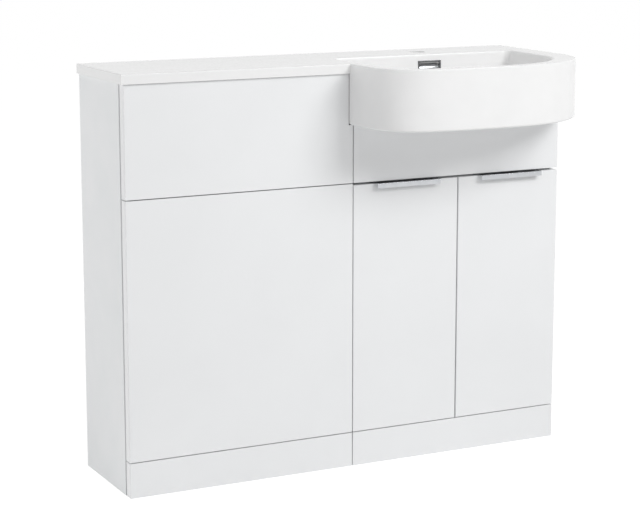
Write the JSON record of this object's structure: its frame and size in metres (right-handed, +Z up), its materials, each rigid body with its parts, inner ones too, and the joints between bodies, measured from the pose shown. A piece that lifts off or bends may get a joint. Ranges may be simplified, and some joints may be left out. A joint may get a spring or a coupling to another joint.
{
  "type": "toilet and basin combination unit",
  "caption": "Floor-standing white WC cabinet joined to a two-door vanity cabinet under one cast top with a P-shaped semi-recessed basin.",
  "frame": {"origin": "on the floor under the middle of the unit's bounding box", "axes": "+X along the unit to the right, +Y to the wall, +Z up"},
  "size_m": [1.01, 0.44, 0.85],
  "materials": {
    "cabinet_board": "white melamine-faced board",
    "gloss_front": "white gloss foil-faced board",
    "cast_top": "white gloss gel-coated cast marble",
    "chrome_trim": "polished chrome plate",
    "fittings_steel": "nickel-plated pressed steel",
    "clear_plastic": "translucent moulded plastic",
    "soft_pad": "clear soft pads"
  },
  "bodies": {
    "cabinet": {"wc_side_left": "cabinet_board", "wc_side_right": "cabinet_board", "wc_base_rail": "cabinet_board", "wc_mid_rail": "cabinet_board", "wc_top_rail": "cabinet_board", "wc_wall_rail": "cabinet_board", "wc_corner_blocks": "clear_plastic", "wc_front_panel": "gloss_front", "wc_panel_pads": "clear_plastic", "access_clip_sockets": "clear_plastic", "wc_plinth": "gloss_front", "wc_plinth_pads": "clear_plastic", "vanity_side_left": "cabinet_board", "vanity_side_right": "cabinet_board", "vanity_base": "cabinet_board", "vanity_filler_rail": "cabinet_board", "vanity_back_rail": "cabinet_board", "vanity_wall_rail": "cabinet_board", "vanity_corner_blocks": "clear_plastic", "vanity_filler_panel": "gloss_front", "vanity_filler_pads": "clear_plastic", "vanity_plinth": "gloss_front", "vanity_plinth_pads": "clear_plastic", "cabinet_bolts": "fittings_steel", "shelf": "cabinet_board", "shelf_pins": "fittings_steel", "hinge_plates": "fittings_steel", "hinge_plate_screws": "fittings_steel", "hinge_arms": "fittings_steel", "basin_top": "cast_top", "overflow_cover": "chrome_trim"},
    "left_door": {"door_left": "gloss_front", "door_pads_left": "soft_pad", "hinge_cups_left": "fittings_steel", "pull_left": "chrome_trim", "pull_screws_left": "fittings_steel"},
    "right_door": {"door_right": "gloss_front", "door_pads_right": "soft_pad", "hinge_cups_right": "fittings_steel", "pull_right": "chrome_trim", "pull_screws_right": "fittings_steel"},
    "access_panel": {"wc_access_panel": "gloss_front", "access_clip_studs": "clear_plastic"}
  },
  "joints": [
    {"name": "left_door_hinge", "type": "hinge", "parent": "cabinet", "child": "left_door", "pos_m": [0.001, -0.03, 0.3365], "axis": [0, 0, -1], "range_deg": [0, 105]},
    {"name": "right_door_hinge", "type": "hinge", "parent": "cabinet", "child": "right_door", "pos_m": [0.499, -0.03, 0.3365], "axis": [0, 0, 1], "range_deg": [0, 105]},
    {"name": "access_panel_draw", "type": "slide", "parent": "cabinet", "child": "access_panel", "axis": [0, -1, 0], "range_m": [0, 0.06]}
  ]
}
